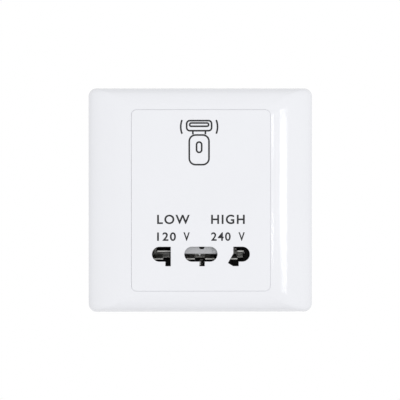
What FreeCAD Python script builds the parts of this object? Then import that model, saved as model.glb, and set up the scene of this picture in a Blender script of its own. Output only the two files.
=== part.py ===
import FreeCAD, Part
import math
import os
import re

import Sketcher
from FreeCAD import Vector

# Two-voltage shaver socket on a square wall plate.
# Frame: the wall is the plane y = 0 and the origin is the middle of the plate on it.
# The front faces -Y, the works stand behind the wall face on +Y, and +Z is up.

# Driving dimensions in millimetres and degrees
SIZES = {
    # Clip-on surround: a square rim that rolls over into a slope, with a bead round its window
    "plate_width": 86.0,
    "plate_height": 86.0,
    "plate_corner": 3.2,
    "rim_height": 2.4,
    "slope_side": 5.0,
    "slope_end": 1.7,
    "slope_height": 6.94,
    "slope_corner": 2.7,
    "slope_crown": 0.3,
    "crest_height": 8.8,
    "crest_corner": 2.6,
    "bead_side": 2.7,
    "bead_end": 2.1,
    "bead_shoulder": 0.12,
    "bead_rise": 0.16,
    "bead_edge": 0.15,
    "frame_wall": 1.8,
    "collar_wall": 1.4,
    # Snap hooks that hold the surround to the mounting plate
    "hook_inset": 7.0,
    "hook_rise": 22.0,
    "hook_width": 8.0,
    "hook_thickness": 1.6,
    "hook_barb": 0.8,
    "hook_tip": 0.4,
    "hook_play": 0.3,
    "ledge_recess": 1.5,
    # Front panel
    "panel_width": 53.2,
    "panel_height": 69.5,
    "panel_corner": 2.0,
    "panel_proud": 0.3,
    "panel_thickness": 2.4,
    "panel_edge": 0.15,
    "skirt_wall": 1.4,
    "seam_gap": 0.03,
    # Pin apertures: two D shapes and a long round-ended one, each with a blade notch
    "aperture_drop": 20.6,
    "aperture_height": 5.7,
    "aperture_reach": 18.75,
    "aperture_inner": 12.0,
    "middle_width": 12.7,
    "notch_width": 2.05,
    "notch_depth": 1.75,
    "notch_offset": 0.42,
    "slant_reach": 2.05,
    "slant_rise": 3.65,
    "slant_toe": 1.2,
    "aperture_edge": 0.15,
    # Mounting plate
    "mount_thickness": 3.0,
    "mount_play": 1.3,
    "mount_corner": 3.0,
    "fixing_pitch": 60.3,
    "fixing_radius": 2.1,
    "fixing_slot": 7.0,
    "window_play": 0.3,
    # Contact carrier
    "carrier_rear": 9.5,
    "carrier_wall": 1.5,
    "carrier_roof": 2.2,
    "carrier_floor": 0.9,
    "flange_lap": 1.8,
    "flange_thickness": 1.4,
    "chamber_play": 0.5,
    "tower_wall": 1.3,
    # Shutter behind the middle aperture, and its return spring
    "shutter_lap": 0.25,
    "shutter_wing": 1.4,
    "shutter_step": 4.1,
    "shutter_height": 10.8,
    "shutter_thickness": 1.8,
    "shutter_edge": 0.3,
    "shutter_play": 0.3,
    "shutter_window": 3.6,
    "shutter_window_foot": 1.3,
    "shutter_window_reach": 1.0,
    "shutter_tooth": 0.7,
    "tooth_width": 0.95,
    "tooth_offset": 0.4,
    "shutter_groove": 0.35,
    "groove_offset": 4.4,
    "spring_radius": 0.85,
    "spring_wire": 0.3,
    "spring_turns": 5.0,
    "spring_room": 5.0,
    # Sprung contacts, folded from strip
    "strip": 0.5,
    "contact_play": 0.4,
    "contact_mouth": 3.6,
    "contact_nip": 0.3,
    "contact_heel": 2.3,
    "contact_inset": 0.95,
    "lip_rise": 0.7,
    "lip_drop": 1.75,
    "upper_inset": 1.2,
    "low_leaf": 3.4,
    "high_leaf": 2.6,
    "blade_room": 1.5,
    "tongue_offset": 0.32,
    "tongue_flare": 0.7,
    "tongue_lip": 1.2,
    "tongue_play": 0.45,
    "nip_depth": 0.5,
    "tag_width": 4.0,
    "tag_reach": 2.5,
    "tag_play": 0.6,
    # Transformer
    "leg_width": 13.0,
    "core_window": 7.5,
    "core_opening": 21.0,
    "core_stack": 22.0,
    "core_play": 0.2,
    "core_bolt": 1.6,
    "bobbin_wall": 1.0,
    "bobbin_play": 0.3,
    "flange_margin": 1.0,
    "coil_play": 0.55,
    "winding_depth": 4.9,
    "winding_play": 0.1,
    "winding_corner": 4.0,
    "winding_pin": 0.8,
    "winding_pin_pitch": 1.7,
    "winding_pin_back": 1.4,
    "cutout_length": 7.6,
    "cutout_width": 4.4,
    "cutout_thickness": 2.6,
    "cutout_leg_pitch": 5.0,
    # Printed board that joins the terminals, windings and contacts
    "board_thickness": 1.6,
    "board_margin": 1.2,
    "board_clearance": 1.2,
    "board_play": 0.2,
    "pin_stand": 0.8,
    "core_gap": 1.6,
    # Rear housing
    "housing_inset": 2.6,
    "housing_inset_end": 1.75,
    "housing_wall": 1.8,
    "housing_edge": 2.0,
    "shelf_height": 3.6,
    "rib_thickness": 2.0,
    "vent_inset": 6.0,
    "vent_width": 1.6,
    "vent_pitch": 4.2,
    "screw_margin": 0.6,
    "screw_radius": 1.4,
    "screw_play": 0.2,
    "pillar_radius": 2.4,
    "boss_radius": 2.8,
    "screw_bite": 3.6,
    "head_radius": 2.6,
    "head_height": 1.7,
    "drive_slot": 0.8,
    # Supply terminals
    "block_end": 2.1,
    "block_lip": 1.7,
    "terminal_pitch": 10.4,
    "terminal_width": 7.6,
    "terminal_height": 9.0,
    "terminal_depth": 9.0,
    "terminal_play": 0.3,
    "block_wall": 3.0,
    "bore_radius": 1.75,
    "bore_depth": 7.5,
    "clamp_radius": 1.45,
    "clamp_head": 2.4,
    "clamp_head_height": 1.6,
    "clamp_play": 0.05,
    "clamp_back_off": 0.4,
    "terminal_tail": 3.0,
    "tail_thickness": 0.8,
    # How far a cutting shape runs past the face that it opens
    "overrun": 1.0,
}

doc = FreeCAD.newDocument("shaver_socket")
sheet = doc.addObject("Spreadsheet::Sheet", "Sizes")
for row, (word, number) in enumerate(SIZES.items(), start=1):
    sheet.set(f"A{row}", word)
    sheet.set(f"B{row}", str(number))
    sheet.setAlias(f"B{row}", word)
doc.recompute()

# Sizes that several pieces share, as expressions of the cells
WINDOW_W = "(panel_width + 2 * seam_gap)"
WINDOW_H = "(panel_height + 2 * seam_gap)"
CREST_W = f"({WINDOW_W} + 2 * bead_side)"
CREST_H = f"({WINDOW_H} + 2 * bead_end)"
PANEL_FRONT = "(crest_height + bead_rise + panel_proud)"
PANEL_BACK = f"({PANEL_FRONT} - panel_thickness)"
SKIRT = f"({PANEL_BACK} - mount_thickness)"
PIN_R = "(aperture_height / 2)"
PIN_Z = "(-aperture_drop)"
PIN_TOP = f"({PIN_Z} + {PIN_R})"
PIN_LOW = f"({PIN_Z} - {PIN_R})"
NOTCH_LOW = f"({PIN_LOW} - notch_depth)"
HOOK_X = "(plate_width / 2 - hook_inset)"
CARRIER_HALF = "(aperture_reach + chamber_play + carrier_wall)"
CARRIER_TOP = f"({PIN_TOP} + chamber_play + carrier_roof)"
CARRIER_LOW = f"({NOTCH_LOW} - chamber_play - carrier_floor)"
RECESS = "(shutter_thickness + 2 * shutter_play)"
SHUTTER_FRONT = f"({PANEL_BACK} - shutter_play)"
SHUTTER_HALF = "(middle_width / 2 + shutter_lap)"
SHUTTER_STEP = f"({PIN_Z} + shutter_step)"
SHUTTER_TOP = f"({PIN_Z} + shutter_height)"
SPRING_ROOF = f"({SHUTTER_TOP} + spring_room)"
SPRING_LEVEL = f"({PANEL_BACK} - {RECESS} / 2)"
LOW_FLAT = "(notch_offset - aperture_inner)"
HIGH_FLAT = "(notch_offset + aperture_inner)"
HEEL = "(carrier_rear - carrier_wall - contact_play)"
TAG_END = "(carrier_rear + tag_reach)"
HOUSING_W = "(panel_width - 2 * housing_inset)"
HOUSING_LOW = "(housing_inset_end - panel_height / 2)"
FLANGE_RIM = "(core_window - flange_margin)"
CORE_FRONT = f"max(0; {FLANGE_RIM} + coil_play - {PANEL_BACK})"
CORE_REAR = f"({CORE_FRONT} + core_stack)"
CORE_MID = f"({CORE_FRONT} + core_stack / 2)"
CORE_W = "(core_opening + leg_width)"
CORE_H = "(2 * leg_width + 2 * core_window)"
YOKE = "(leg_width / 2)"
HOUSING_DEPTH = f"({CORE_REAR} + {FLANGE_RIM} + coil_play + housing_wall)"
STEP_Y = f"({TAG_END} + tag_play + housing_wall)"
STEP_Z = f"({PIN_Z} + shelf_height)"
BOARD_LOW = f"({STEP_Z} + housing_wall + board_clearance)"
BOARD_TOP = f"({BOARD_LOW} + board_thickness)"
CORE_Z = f"({BOARD_TOP} + pin_stand + core_gap + {CORE_H} / 2)"
COIL_LOW = f"({CORE_Z} - leg_width / 2 - {FLANGE_RIM})"
HOUSING_TOP = f"({CORE_Z} + {CORE_H} / 2 + core_play + housing_wall)"
SCREW_X = f"({HOUSING_W} / 2 - pillar_radius - screw_margin)"
SCREW_Z = f"(-{HOUSING_LOW} - pillar_radius - screw_margin)"
TERMINAL_TOP = f"({STEP_Z} - block_wall - terminal_play)"
TERMINAL_FRONT = f"({STEP_Y} + block_wall + terminal_play)"
TERMINAL_REAR = f"({TERMINAL_FRONT} + terminal_depth)"
BORE_Y = f"({TERMINAL_FRONT} + terminal_depth / 2)"
TAIL_Y = f"({TERMINAL_FRONT} + tail_thickness)"
CLAMP_Z = f"({TERMINAL_TOP} - terminal_height / 2)"
BLOCK_LOW = f"({TERMINAL_TOP} - terminal_height - block_lip)"
BLOCK_REAR = f"({TERMINAL_REAR} + block_lip)"
BLOCK_HALF = "(terminal_pitch + terminal_width / 2 + terminal_play + block_end)"


def cells(expression):
    """The expression with each size name turned into its spreadsheet cell."""
    return re.sub(r"[a-z][a-z_]+", lambda found: f"Sizes.{found[0]}" if found[0] in SIZES else found[0],
                  str(expression))


def value(expression):
    """What an expression of sizes comes to now."""
    return float(sheet.evalExpression(cells(expression)))


def bind(item, setting, expression):
    item.setExpression(setting, cells(expression))


def new_body(name):
    body = doc.addObject("PartDesign::Body", name)
    body.Label = name
    return body


def sketch_on(body, name, plane="XZ_Plane", level="0"):
    """An empty sketch on an origin plane, moved along its normal by level.

    On the XZ plane the normal is -Y, so a level there is a height in front of the wall.
    """
    sketch = body.newObject("Sketcher::SketchObject", f"{body.Name}_{name}")
    support = next(item for item in body.Origin.OriginFeatures if item.Role == plane)
    sketch.AttachmentSupport = [(support, "")]
    sketch.MapMode = "FlatFace"
    bind(sketch, "AttachmentOffset.Base.z", level)
    return sketch


def fix_point(sketch, geometry, point, across, up):
    """Ties a point of the sketch to two size expressions."""
    for direction, expression in (("DistanceX", across), ("DistanceY", up)):
        rule = Sketcher.Constraint(direction, -1, 1, geometry, point, value(expression))
        index = sketch.addConstraint(rule)
        bind(sketch, f"Constraints[{index}]", expression)


def loop(sketch, corners):
    """A closed outline through corners of (across, up).

    A third entry is the radius of an arc that ends at that corner, and it turns left
    where the entry has a plus sign and right where it has a minus sign before it.
    """
    places = [Vector(value(corner[0]), value(corner[1]), 0) for corner in corners]
    pieces = []
    for index, corner in enumerate(corners):
        start, end = places[index - 1], places[index]
        if len(corner) == 2:
            pieces.append((sketch.addGeometry(Part.LineSegment(start, end)), 1, 2))
            continue
        left = corner[2][0] == "+"
        radius = value(corner[2][1:])
        chord = end - start
        side = Vector(-chord.y, chord.x, 0).normalize() * (1 if left else -1)
        centre = (start + end) / 2 + side * math.sqrt(max(radius ** 2 - chord.Length ** 2 / 4, 0))
        first, last = (start, end) if left else (end, start)
        angles = [math.atan2((spot - centre).y, (spot - centre).x) for spot in (first, last)]
        circle = Part.Circle(centre, Vector(0, 0, 1), radius)
        pieces.append((sketch.addGeometry(Part.ArcOfCircle(circle, *angles)), *((1, 2) if left else (2, 1))))
    for index, corner in enumerate(corners):
        geometry, _, end = pieces[index]
        following = pieces[(index + 1) % len(pieces)]
        sketch.addConstraint(Sketcher.Constraint("Coincident", geometry, end, following[0], following[1]))
        fix_point(sketch, geometry, end, corner[0], corner[1])
        if len(corner) == 3:
            rule = sketch.addConstraint(Sketcher.Constraint("Radius", geometry, value(corner[2][1:])))
            bind(sketch, f"Constraints[{rule}]", corner[2][1:])


def circle(sketch, across, up, radius):
    geometry = sketch.addGeometry(Part.Circle(Vector(value(across), value(up), 0), Vector(0, 0, 1),
                                              value(radius)))
    fix_point(sketch, geometry, 3, across, up)
    rule = sketch.addConstraint(Sketcher.Constraint("Radius", geometry, value(radius)))
    bind(sketch, f"Constraints[{rule}]", radius)


def box(sketch, left, low, right, high):
    loop(sketch, [(right, low), (right, high), (left, high), (left, low)])


def rounded(sketch, width, height, radius, across="0", up="0"):
    """A rectangle with round corners about a middle point."""
    right, left = f"{across} + {width} / 2", f"{across} - {width} / 2"
    top, low = f"{up} + {height} / 2", f"{up} - {height} / 2"
    turn = f"+{radius}"
    loop(sketch, [
        (f"{right} - {radius}", low), (right, f"{low} + {radius}", turn),
        (right, f"{top} - {radius}"), (f"{right} - {radius}", top, turn),
        (f"{left} + {radius}", top), (left, f"{top} - {radius}", turn),
        (left, f"{low} + {radius}"), (f"{left} + {radius}", low, turn),
    ])


def pad(body, sketch, length, back=False, both=False):
    feature = body.newObject("PartDesign::Pad", f"{sketch.Name}_pad")
    feature.Profile = sketch
    feature.Reversed = back
    feature.SideType = "Symmetric" if both else "One side"
    bind(feature, "Length", length)
    return feature


def pocket(body, sketch, length=None, back=False, both=False):
    """Cuts the sketch against its normal, or along it if back, right through if no length is given."""
    doc.recompute()
    before = body.Shape.Volume
    feature = body.newObject("PartDesign::Pocket", f"{sketch.Name}_cut")
    feature.Profile = sketch
    feature.Reversed = back
    feature.SideType = "Symmetric" if both else "One side"
    if length is None:
        feature.Type = "ThroughAll"
    else:
        bind(feature, "Length", length)
    doc.recompute()
    if not body.Shape.Volume < before:
        raise ValueError(f"{feature.Name} cuts nothing")
    return feature


def loft(body, kind, name, sections, ruled=False):
    """A loft through round-cornered rectangles of (level, width, height, corner radius)."""
    outlines = []
    for index, (level, width, height, radius) in enumerate(sections):
        sketch = sketch_on(body, f"{name}_{index}", level=level)
        rounded(sketch, width, height, radius)
        outlines.append(sketch)
    feature = body.newObject(f"PartDesign::{kind}", f"{body.Name}_{name}")
    feature.Profile = outlines[0]
    feature.Sections = outlines[1:]
    feature.Ruled = ruled
    return feature


def dress(body, kind, name, size, chosen):
    """Fillets or chamfers the edges of the body's last shape for which chosen(edge's box) holds."""
    doc.recompute()
    base = body.Tip
    edges = [f"Edge{index}" for index, edge in enumerate(base.Shape.Edges, start=1) if chosen(edge.BoundBox)]
    feature = body.newObject(f"PartDesign::{kind}", f"{body.Name}_{name}")
    feature.Base = (base, edges)
    bind(feature, "Radius" if kind == "Fillet" else "Size", size)
    return feature


# How close two places have to be for an edge to count as lying there
MARGIN = 0.01


def near(first, second):
    return abs(first - second) < MARGIN


SIDES = ("-", "")
CORNERS = [(across, up) for across in SIDES for up in SIDES]


# Parts of the way from the rim to the slope at which the roll of the surround has a section
ROLL_PARTS = ("0", "1 / 4", "1 / 2", "3 / 4", "1")
# The slope is crowned, so it is steepest where the roll runs into it
SLOPE_RUN = f"((plate_width - {CREST_W}) / 2 - slope_side)"
SLOPE = f"((crest_height - slope_height + 4 * slope_crown) / {SLOPE_RUN})"
# The roll leaves the rim upright and aims at the point where that steepest line meets the outer edge
ROLL_AIM = f"(slope_height - slope_side * {SLOPE})"


def roll_section(part):
    """Level, width, height and corner of the roll, part of the way along its parabola."""
    rest = f"(1 - {part})"
    level = f"rim_height * {rest}^2 + 2 * {ROLL_AIM} * ({part}) * {rest} + slope_height * ({part})^2"
    width = f"(plate_width - 2 * slope_side * ({part})^2)"
    height = f"(plate_height - 2 * slope_end * ({part})^2)"
    return level, width, height, f"(plate_corner * {rest} + slope_corner * ({part}))"


def make_surround_frame():
    body = new_body("surround_frame")
    rim = sketch_on(body, "rim")
    rounded(rim, "plate_width", "plate_height", "plate_corner")
    pad(body, rim, "rim_height")
    crest = ("crest_height", CREST_W, CREST_H, "crest_corner")
    half_way = [f"(({low} + {high}) / 2)" for low, high in zip(roll_section("1"), crest)]
    half_way[0] += " + slope_crown"
    loft(body, "AdditiveLoft", "pillow", [*[roll_section(part) for part in ROLL_PARTS], half_way, crest])
    loft(body, "AdditiveLoft", "bead", [
        crest,
        ("crest_height + bead_shoulder", f"({CREST_W} - bead_side)", f"({CREST_H} - bead_end)",
         "crest_corner"),
        ("crest_height + bead_rise", f"({WINDOW_W} - bead_side)", f"({WINDOW_H} - bead_end)", "panel_corner"),
    ])
    inside = ("(plate_width - 2 * frame_wall)", "(plate_height - 2 * frame_wall)")
    inner_corner = "(plate_corner - frame_wall / 2)"
    roll_level, roll_width, roll_height, _ = roll_section("1 / 2")
    loft(body, "SubtractiveLoft", "hollow", [
        ("0", *inside, inner_corner),
        ("rim_height", *inside, inner_corner),
        (f"{roll_level} - frame_wall * 3 / 4", f"({roll_width} - frame_wall * 4 / 3)",
         f"({roll_height} - frame_wall * 4 / 3)", inner_corner),
        ("slope_height - frame_wall", "(plate_width - 2 * slope_side - frame_wall / 2)",
         "(plate_height - 2 * slope_end - frame_wall / 2)", "slope_corner"),
        ("crest_height - frame_wall", CREST_W, CREST_H, "crest_corner"),
    ], ruled=True)
    collar = sketch_on(body, "collar", level="mount_thickness")
    rounded(collar, f"({WINDOW_W} + 2 * collar_wall)", f"({WINDOW_H} + 2 * collar_wall)",
            "(panel_corner + collar_wall)")
    pad(body, collar, "crest_height - frame_wall / 2 - mount_thickness")
    for across, up in CORNERS:
        name = f"hook_{'left' if across else 'right'}_{'low' if up else 'high'}"
        hook = sketch_on(body, name, "XY_Plane", f"{up}hook_rise - hook_width / 2")
        inner, outer = f"{across}{HOOK_X}", f"{across}({HOOK_X} + hook_thickness)"
        barb = f"{across}({HOOK_X} + hook_thickness + hook_barb)"
        catch = "-(ledge_recess - hook_play)"
        root = "-(slope_height - frame_wall / 3)"
        loop(hook, [(inner, root), (outer, root), (outer, catch), (barb, catch),
                    (outer, "-hook_tip"), (inner, "-hook_tip")])
        pad(body, hook, "hook_width")
    opening = sketch_on(body, "window", level=f"{PANEL_FRONT} + overrun")
    rounded(opening, WINDOW_W, WINDOW_H, "(panel_corner + seam_gap)")
    pocket(body, opening)
    half, top = value(WINDOW_W) / 2, -value("crest_height")
    dress(body, "Fillet", "window_edge", "bead_edge",
          lambda edge: edge.YMax < top and edge.XMin > -half - MARGIN and edge.XMax < half + MARGIN)
    return body


def draw_apertures(sketch):
    """The three pin apertures, as seen from the front."""
    notch = "notch_width"
    loop(sketch, [
        (LOW_FLAT, NOTCH_LOW), (LOW_FLAT, PIN_TOP),
        (f"-aperture_reach + {PIN_R}", PIN_TOP), ("-aperture_reach", PIN_Z, f"+{PIN_R}"),
        (f"-aperture_reach + {PIN_R}", PIN_LOW, f"+{PIN_R}"), (f"{LOW_FLAT} - {notch}", PIN_LOW),
        (f"{LOW_FLAT} - {notch}", NOTCH_LOW),
    ])
    half, turn = "middle_width / 2", f"middle_width / 2 - {PIN_R}"
    left, right = (f"notch_offset {sign} {notch} / 2" for sign in "-+")
    loop(sketch, [
        (right, NOTCH_LOW), (right, PIN_LOW),
        (turn, PIN_LOW), (half, PIN_Z, f"+{PIN_R}"), (turn, PIN_TOP, f"+{PIN_R}"),
        (f"-({turn})", PIN_TOP), (f"-{half}", PIN_Z, f"+{PIN_R}"), (f"-({turn})", PIN_LOW, f"+{PIN_R}"),
        (left, PIN_LOW), (left, NOTCH_LOW),
    ])
    tip = f"{NOTCH_LOW} + slant_toe"
    loop(sketch, [
        (f"{HIGH_FLAT} + {notch}", NOTCH_LOW), (f"{HIGH_FLAT} + {notch}", PIN_LOW),
        (f"aperture_reach - {PIN_R}", PIN_LOW), ("aperture_reach", PIN_Z, f"+{PIN_R}"),
        (f"aperture_reach - {PIN_R}", PIN_TOP, f"+{PIN_R}"), (HIGH_FLAT, PIN_TOP),
        (HIGH_FLAT, f"{tip} + slant_rise"), (f"{HIGH_FLAT} - slant_reach", tip),
        (HIGH_FLAT, NOTCH_LOW),
    ])


def make_front_panel():
    body = new_body("front_panel")
    face = sketch_on(body, "face", level=PANEL_BACK)
    rounded(face, "panel_width", "panel_height", "panel_corner")
    pad(body, face, "panel_thickness")
    front = -value(PANEL_FRONT)
    dress(body, "Fillet", "edge", "panel_edge", lambda edge: near(edge.YMax, front))
    skirt = sketch_on(body, "skirt", level="mount_thickness")
    rounded(skirt, "panel_width", "panel_height", "panel_corner")
    rounded(skirt, "(panel_width - 2 * skirt_wall)", "(panel_height - 2 * skirt_wall)", "(panel_corner / 2)")
    pad(body, skirt, SKIRT)
    bosses = sketch_on(body, "bosses", level="mount_thickness")
    pilots = sketch_on(body, "pilots", level="mount_thickness")
    for across, up in CORNERS:
        circle(bosses, f"{across}{SCREW_X}", f"{up}{SCREW_Z}", "boss_radius")
        circle(pilots, f"{across}{SCREW_X}", f"{up}{SCREW_Z}", "screw_radius + clamp_play")
    pad(body, bosses, SKIRT)
    pocket(body, pilots, "screw_bite + head_height / 2", back=True)
    apertures = sketch_on(body, "apertures", level=f"{PANEL_FRONT} + overrun")
    draw_apertures(apertures)
    pocket(body, apertures, "panel_thickness + 2 * overrun")
    reach = value("aperture_reach")
    dress(body, "Fillet", "aperture_edges", "aperture_edge", lambda edge: near(edge.YMin, front)
          and near(edge.YMax, front) and edge.ZMax < 0 and max(-edge.XMin, edge.XMax) < reach + MARGIN
          and edge.ZMin > value(NOTCH_LOW) - MARGIN)
    return body


def make_mounting_plate():
    body = new_body("mounting_plate")
    plate = sketch_on(body, "outline")
    inset = "2 * (frame_wall + mount_play)"
    rounded(plate, f"(plate_width - {inset})", f"(plate_height - {inset})", "mount_corner")
    half = f"({CARRIER_HALF} + window_play)"
    box(plate, f"-{half}", f"{CARRIER_LOW} - window_play", half, f"{CARRIER_TOP} + window_play")
    coil_half = "(core_opening / 2 + window_play)"
    coil_reach = "(leg_width / 2 + core_window + window_play)"
    box(plate, f"-{coil_half}", f"{CORE_Z} - {coil_reach}", coil_half, f"{CORE_Z} + {coil_reach}")
    run = "(fixing_slot / 2 - fixing_radius)"
    for side in SIDES:
        middle = f"{side}fixing_pitch / 2"
        loop(plate, [
            (f"{middle} + {run}", "-fixing_radius"), (f"{middle} + fixing_slot / 2", "0", "+fixing_radius"),
            (f"{middle} + {run}", "fixing_radius", "+fixing_radius"), (f"{middle} - {run}", "fixing_radius"),
            (f"{middle} - fixing_slot / 2", "0", "+fixing_radius"),
            (f"{middle} - {run}", "-fixing_radius", "+fixing_radius"),
        ])
    ledges = sketch_on(body, "ledges")
    for across, up in CORNERS:
        circle(plate, f"{across}{SCREW_X}", f"{up}{SCREW_Z}", "screw_radius + screw_play")
        low, high = (f"{up}hook_rise {sign} (hook_width / 2 + hook_play)" for sign in "-+")
        near_edge, far_edge = f"({HOOK_X} - hook_play)", f"({HOOK_X} + hook_thickness + hook_play)"
        deep_edge = f"({HOOK_X} + hook_thickness + hook_barb + hook_play)"
        if across:
            box(plate, f"-{far_edge}", low, f"-{near_edge}", high)
            box(ledges, f"-{deep_edge}", low, f"-{near_edge}", high)
        else:
            box(plate, near_edge, low, far_edge, high)
            box(ledges, near_edge, low, deep_edge, high)
    pad(body, plate, "mount_thickness")
    pocket(body, ledges, "ledge_recess", back=True)
    return body


def make_contact_carrier():
    body = new_body("contact_carrier")
    block = sketch_on(body, "block", level=PANEL_BACK)
    box(block, f"-{CARRIER_HALF}", CARRIER_LOW, CARRIER_HALF, CARRIER_TOP)
    pad(body, block, f"{PANEL_BACK} + carrier_rear", back=True)
    shoulder = f"({SHUTTER_HALF} + shutter_wing + shutter_play)"
    tower = sketch_on(body, "tower", level=PANEL_BACK)
    box(tower, f"-({shoulder} + tower_wall)", f"{CARRIER_TOP} - tower_wall", f"{shoulder} + tower_wall",
        f"{SPRING_ROOF} + tower_wall")
    pad(body, tower, f"{RECESS} + tower_wall", back=True)
    flange = sketch_on(body, "flange", level="mount_thickness")
    half = f"({CARRIER_HALF} + flange_lap)"
    box(flange, f"-{half}", CARRIER_LOW, half, f"{CARRIER_TOP} + flange_lap")
    pad(body, flange, "flange_thickness")
    chambers = sketch_on(body, "chambers", level=PANEL_BACK)
    top, low = f"{PIN_TOP} + chamber_play", f"{NOTCH_LOW} - chamber_play"
    outer, middle = "(aperture_reach + chamber_play)", f"({SHUTTER_HALF} + shutter_play)"
    box(chambers, f"-{outer}", low, f"{LOW_FLAT} + chamber_play", top)
    box(chambers, f"-{middle}", low, middle, top)
    box(chambers, f"{HIGH_FLAT} - slant_reach - chamber_play", low, outer, top)
    pocket(body, chambers, f"{PANEL_BACK} + carrier_rear - carrier_wall")
    guide = sketch_on(body, "guide", level=PANEL_BACK)
    ledge = f"{SHUTTER_STEP} - shutter_play"
    loop(guide, [(middle, low), (middle, ledge), (shoulder, ledge), (shoulder, SPRING_ROOF),
                 (f"-{shoulder}", SPRING_ROOF), (f"-{shoulder}", ledge), (f"-{middle}", ledge),
                 (f"-{middle}", low)])
    pocket(body, guide, RECESS)
    tags = sketch_on(body, "tags", level="0")
    for middle_x in CONTACT_MIDDLES.values():
        box(tags, f"{middle_x} - tag_width / 2 - window_play", f"{PIN_Z} - strip / 2 - window_play",
            f"{middle_x} + tag_width / 2 + window_play", f"{PIN_Z} + strip / 2 + window_play")
    pocket(body, tags)
    return body


# Middle of each contact's chamber
CONTACT_MIDDLES = {
    "contact_low": "-(aperture_reach + aperture_inner) / 2",
    "contact_common": "0",
    "contact_high": "(aperture_reach + aperture_inner) / 2",
}


def make_contact(name, left, right, slot_left, slot_right):
    """A strip folded to two leaves that nip a pin, with a tag behind that turns up to the board.

    The lower leaf is slotted for a blade.
    """
    body = new_body(name)
    fold = sketch_on(body, "fold", "YZ_Plane", left)
    corners = [
        (f"{HEEL} - strip", f"{PIN_Z} + contact_heel"), ("nip_depth", f"{PIN_Z} + contact_nip"),
        ("-contact_mouth", f"{PIN_Z} + lip_rise"), ("-contact_mouth", f"{PIN_Z} + lip_rise + strip"),
        ("nip_depth", f"{PIN_Z} + contact_nip + strip"), (HEEL, f"{PIN_Z} + contact_heel + strip"),
        (HEEL, f"{PIN_Z} - contact_heel - strip"), ("nip_depth", f"{PIN_Z} - contact_nip - strip"),
        ("-contact_mouth", f"{PIN_Z} - lip_drop - strip"), ("-contact_mouth", f"{PIN_Z} - lip_drop"),
        ("nip_depth", f"{PIN_Z} - contact_nip"), (f"{HEEL} - strip", f"{PIN_Z} - contact_heel"),
    ]
    loop(fold, corners)
    pad(body, fold, f"{right} - ({left})")
    tag = sketch_on(body, "tag", "YZ_Plane", f"{CONTACT_MIDDLES[name]} - tag_width / 2")
    low, high = f"{PIN_Z} - strip / 2", f"{PIN_Z} + strip / 2"
    tip = f"{BOARD_TOP} + pin_stand"
    loop(tag, [(f"{HEEL} - strip / 2", low), (TAG_END, low), (TAG_END, tip), (f"{TAG_END} - strip", tip),
               (f"{TAG_END} - strip", high), (f"{HEEL} - strip / 2", high)])
    pad(body, tag, "tag_width")
    cut_leaf(body, "blade_slot", slot_left, f"{PIN_Z} - lip_drop - strip - overrun", slot_right, PIN_Z)
    return body


def cut_leaf(body, name, left, low, right, high):
    """Takes away part of a contact's leaf, from its lip to behind the nip."""
    sketch = sketch_on(body, name, level="contact_mouth + overrun")
    box(sketch, left, low, right, high)
    pocket(body, sketch, f"contact_mouth + overrun + {HEEL} / 2")


LOW_LEFT = "(contact_inset - aperture_reach)"
HIGH_LEFT = "(aperture_inner - contact_play)"
HIGH_RIGHT = "(aperture_reach - contact_inset - upper_inset)"
LEAF_TOP = f"({PIN_Z} + lip_rise + strip + overrun)"


def make_contact_low():
    """The outer part of this contact's upper leaf is left off, where the aperture is round."""
    body = make_contact("contact_low", LOW_LEFT, LOW_FLAT, f"{LOW_LEFT} + low_leaf", f"{LOW_FLAT} + overrun")
    cut_leaf(body, "upper_cut", f"{LOW_LEFT} - overrun", PIN_Z, f"{LOW_LEFT} + upper_inset", LEAF_TOP)
    return body


def make_contact_common():
    """This contact also has a tongue on edge, bent out at its lip, which presses a blade from one side."""
    half = "(middle_width / 2 - contact_inset)"
    body = make_contact("contact_common", f"-{half}", half, "notch_offset - notch_width / 2 - blade_room",
                        "notch_offset + notch_width / 2 + contact_play")
    low, root = f"{NOTCH_LOW} + strip / 2", f"{PIN_Z} - contact_heel"
    tongue = sketch_on(body, "tongue", "XY_Plane", low)
    left, right = "(notch_offset - tongue_offset)", "(notch_offset - tongue_offset + strip)"
    mouth = f"(tongue_play - {PANEL_BACK})"
    bend = f"{mouth} + tongue_lip"
    loop(tongue, [(left, HEEL), (left, bend), (f"{left} - tongue_flare", mouth),
                  (f"{right} - tongue_flare", mouth), (right, bend), (right, HEEL)])
    pad(body, tongue, f"{PIN_LOW} - ({low})")
    heel = sketch_on(body, "tongue_root", level=f"strip - {HEEL}")
    box(heel, left, low, f"{right} + strip", root)
    pad(body, heel, "strip", back=True)
    return body


def make_contact_high():
    """The inner part of this contact's upper leaf is left off, and its lower leaf stands behind the slant."""
    split = f"{HIGH_LEFT} + high_leaf"
    body = make_contact("contact_high", HIGH_LEFT, HIGH_RIGHT, split, f"{HIGH_RIGHT} + overrun")
    cut_leaf(body, "upper_cut", f"{HIGH_LEFT} - overrun", PIN_Z, split, LEAF_TOP)
    return body


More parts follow.
